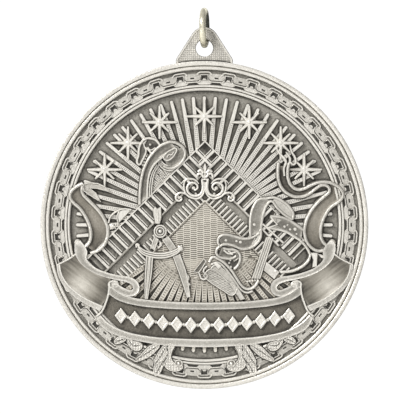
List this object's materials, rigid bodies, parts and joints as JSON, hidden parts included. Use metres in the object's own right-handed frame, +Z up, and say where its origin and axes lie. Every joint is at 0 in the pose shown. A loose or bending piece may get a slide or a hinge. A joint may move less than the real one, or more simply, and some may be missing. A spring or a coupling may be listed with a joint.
{
  "type": "masonic jewel",
  "caption": "Round cast metal collar jewel with a chain border, rays, stars, a square, dividers and ribbons in relief, an ear at the top and a jump ring to hang it by.",
  "frame": {"origin": "inner top of the jump ring, where a collar's hook or cord carries it", "axes": "+Z up, the medal's relief faces -Y, +X to the right as seen from the front"},
  "size_m": [0.06, 0.0074, 0.0698],
  "materials": {
    "medal_metal": "antiqued satin plate",
    "ring_wire": "bright plated wire"
  },
  "bodies": {
    "jump_ring": {"jump_ring": "ring_wire"},
    "medal": {"medal": "medal_metal"}
  },
  "joints": [
    {"name": "medal_swing", "type": "hinge", "parent": "jump_ring", "child": "medal", "pos_m": [0, 0, -0.0025], "axis": [0.9936, -0.1132, 0], "range_deg": [-75, 75]}
  ]
}
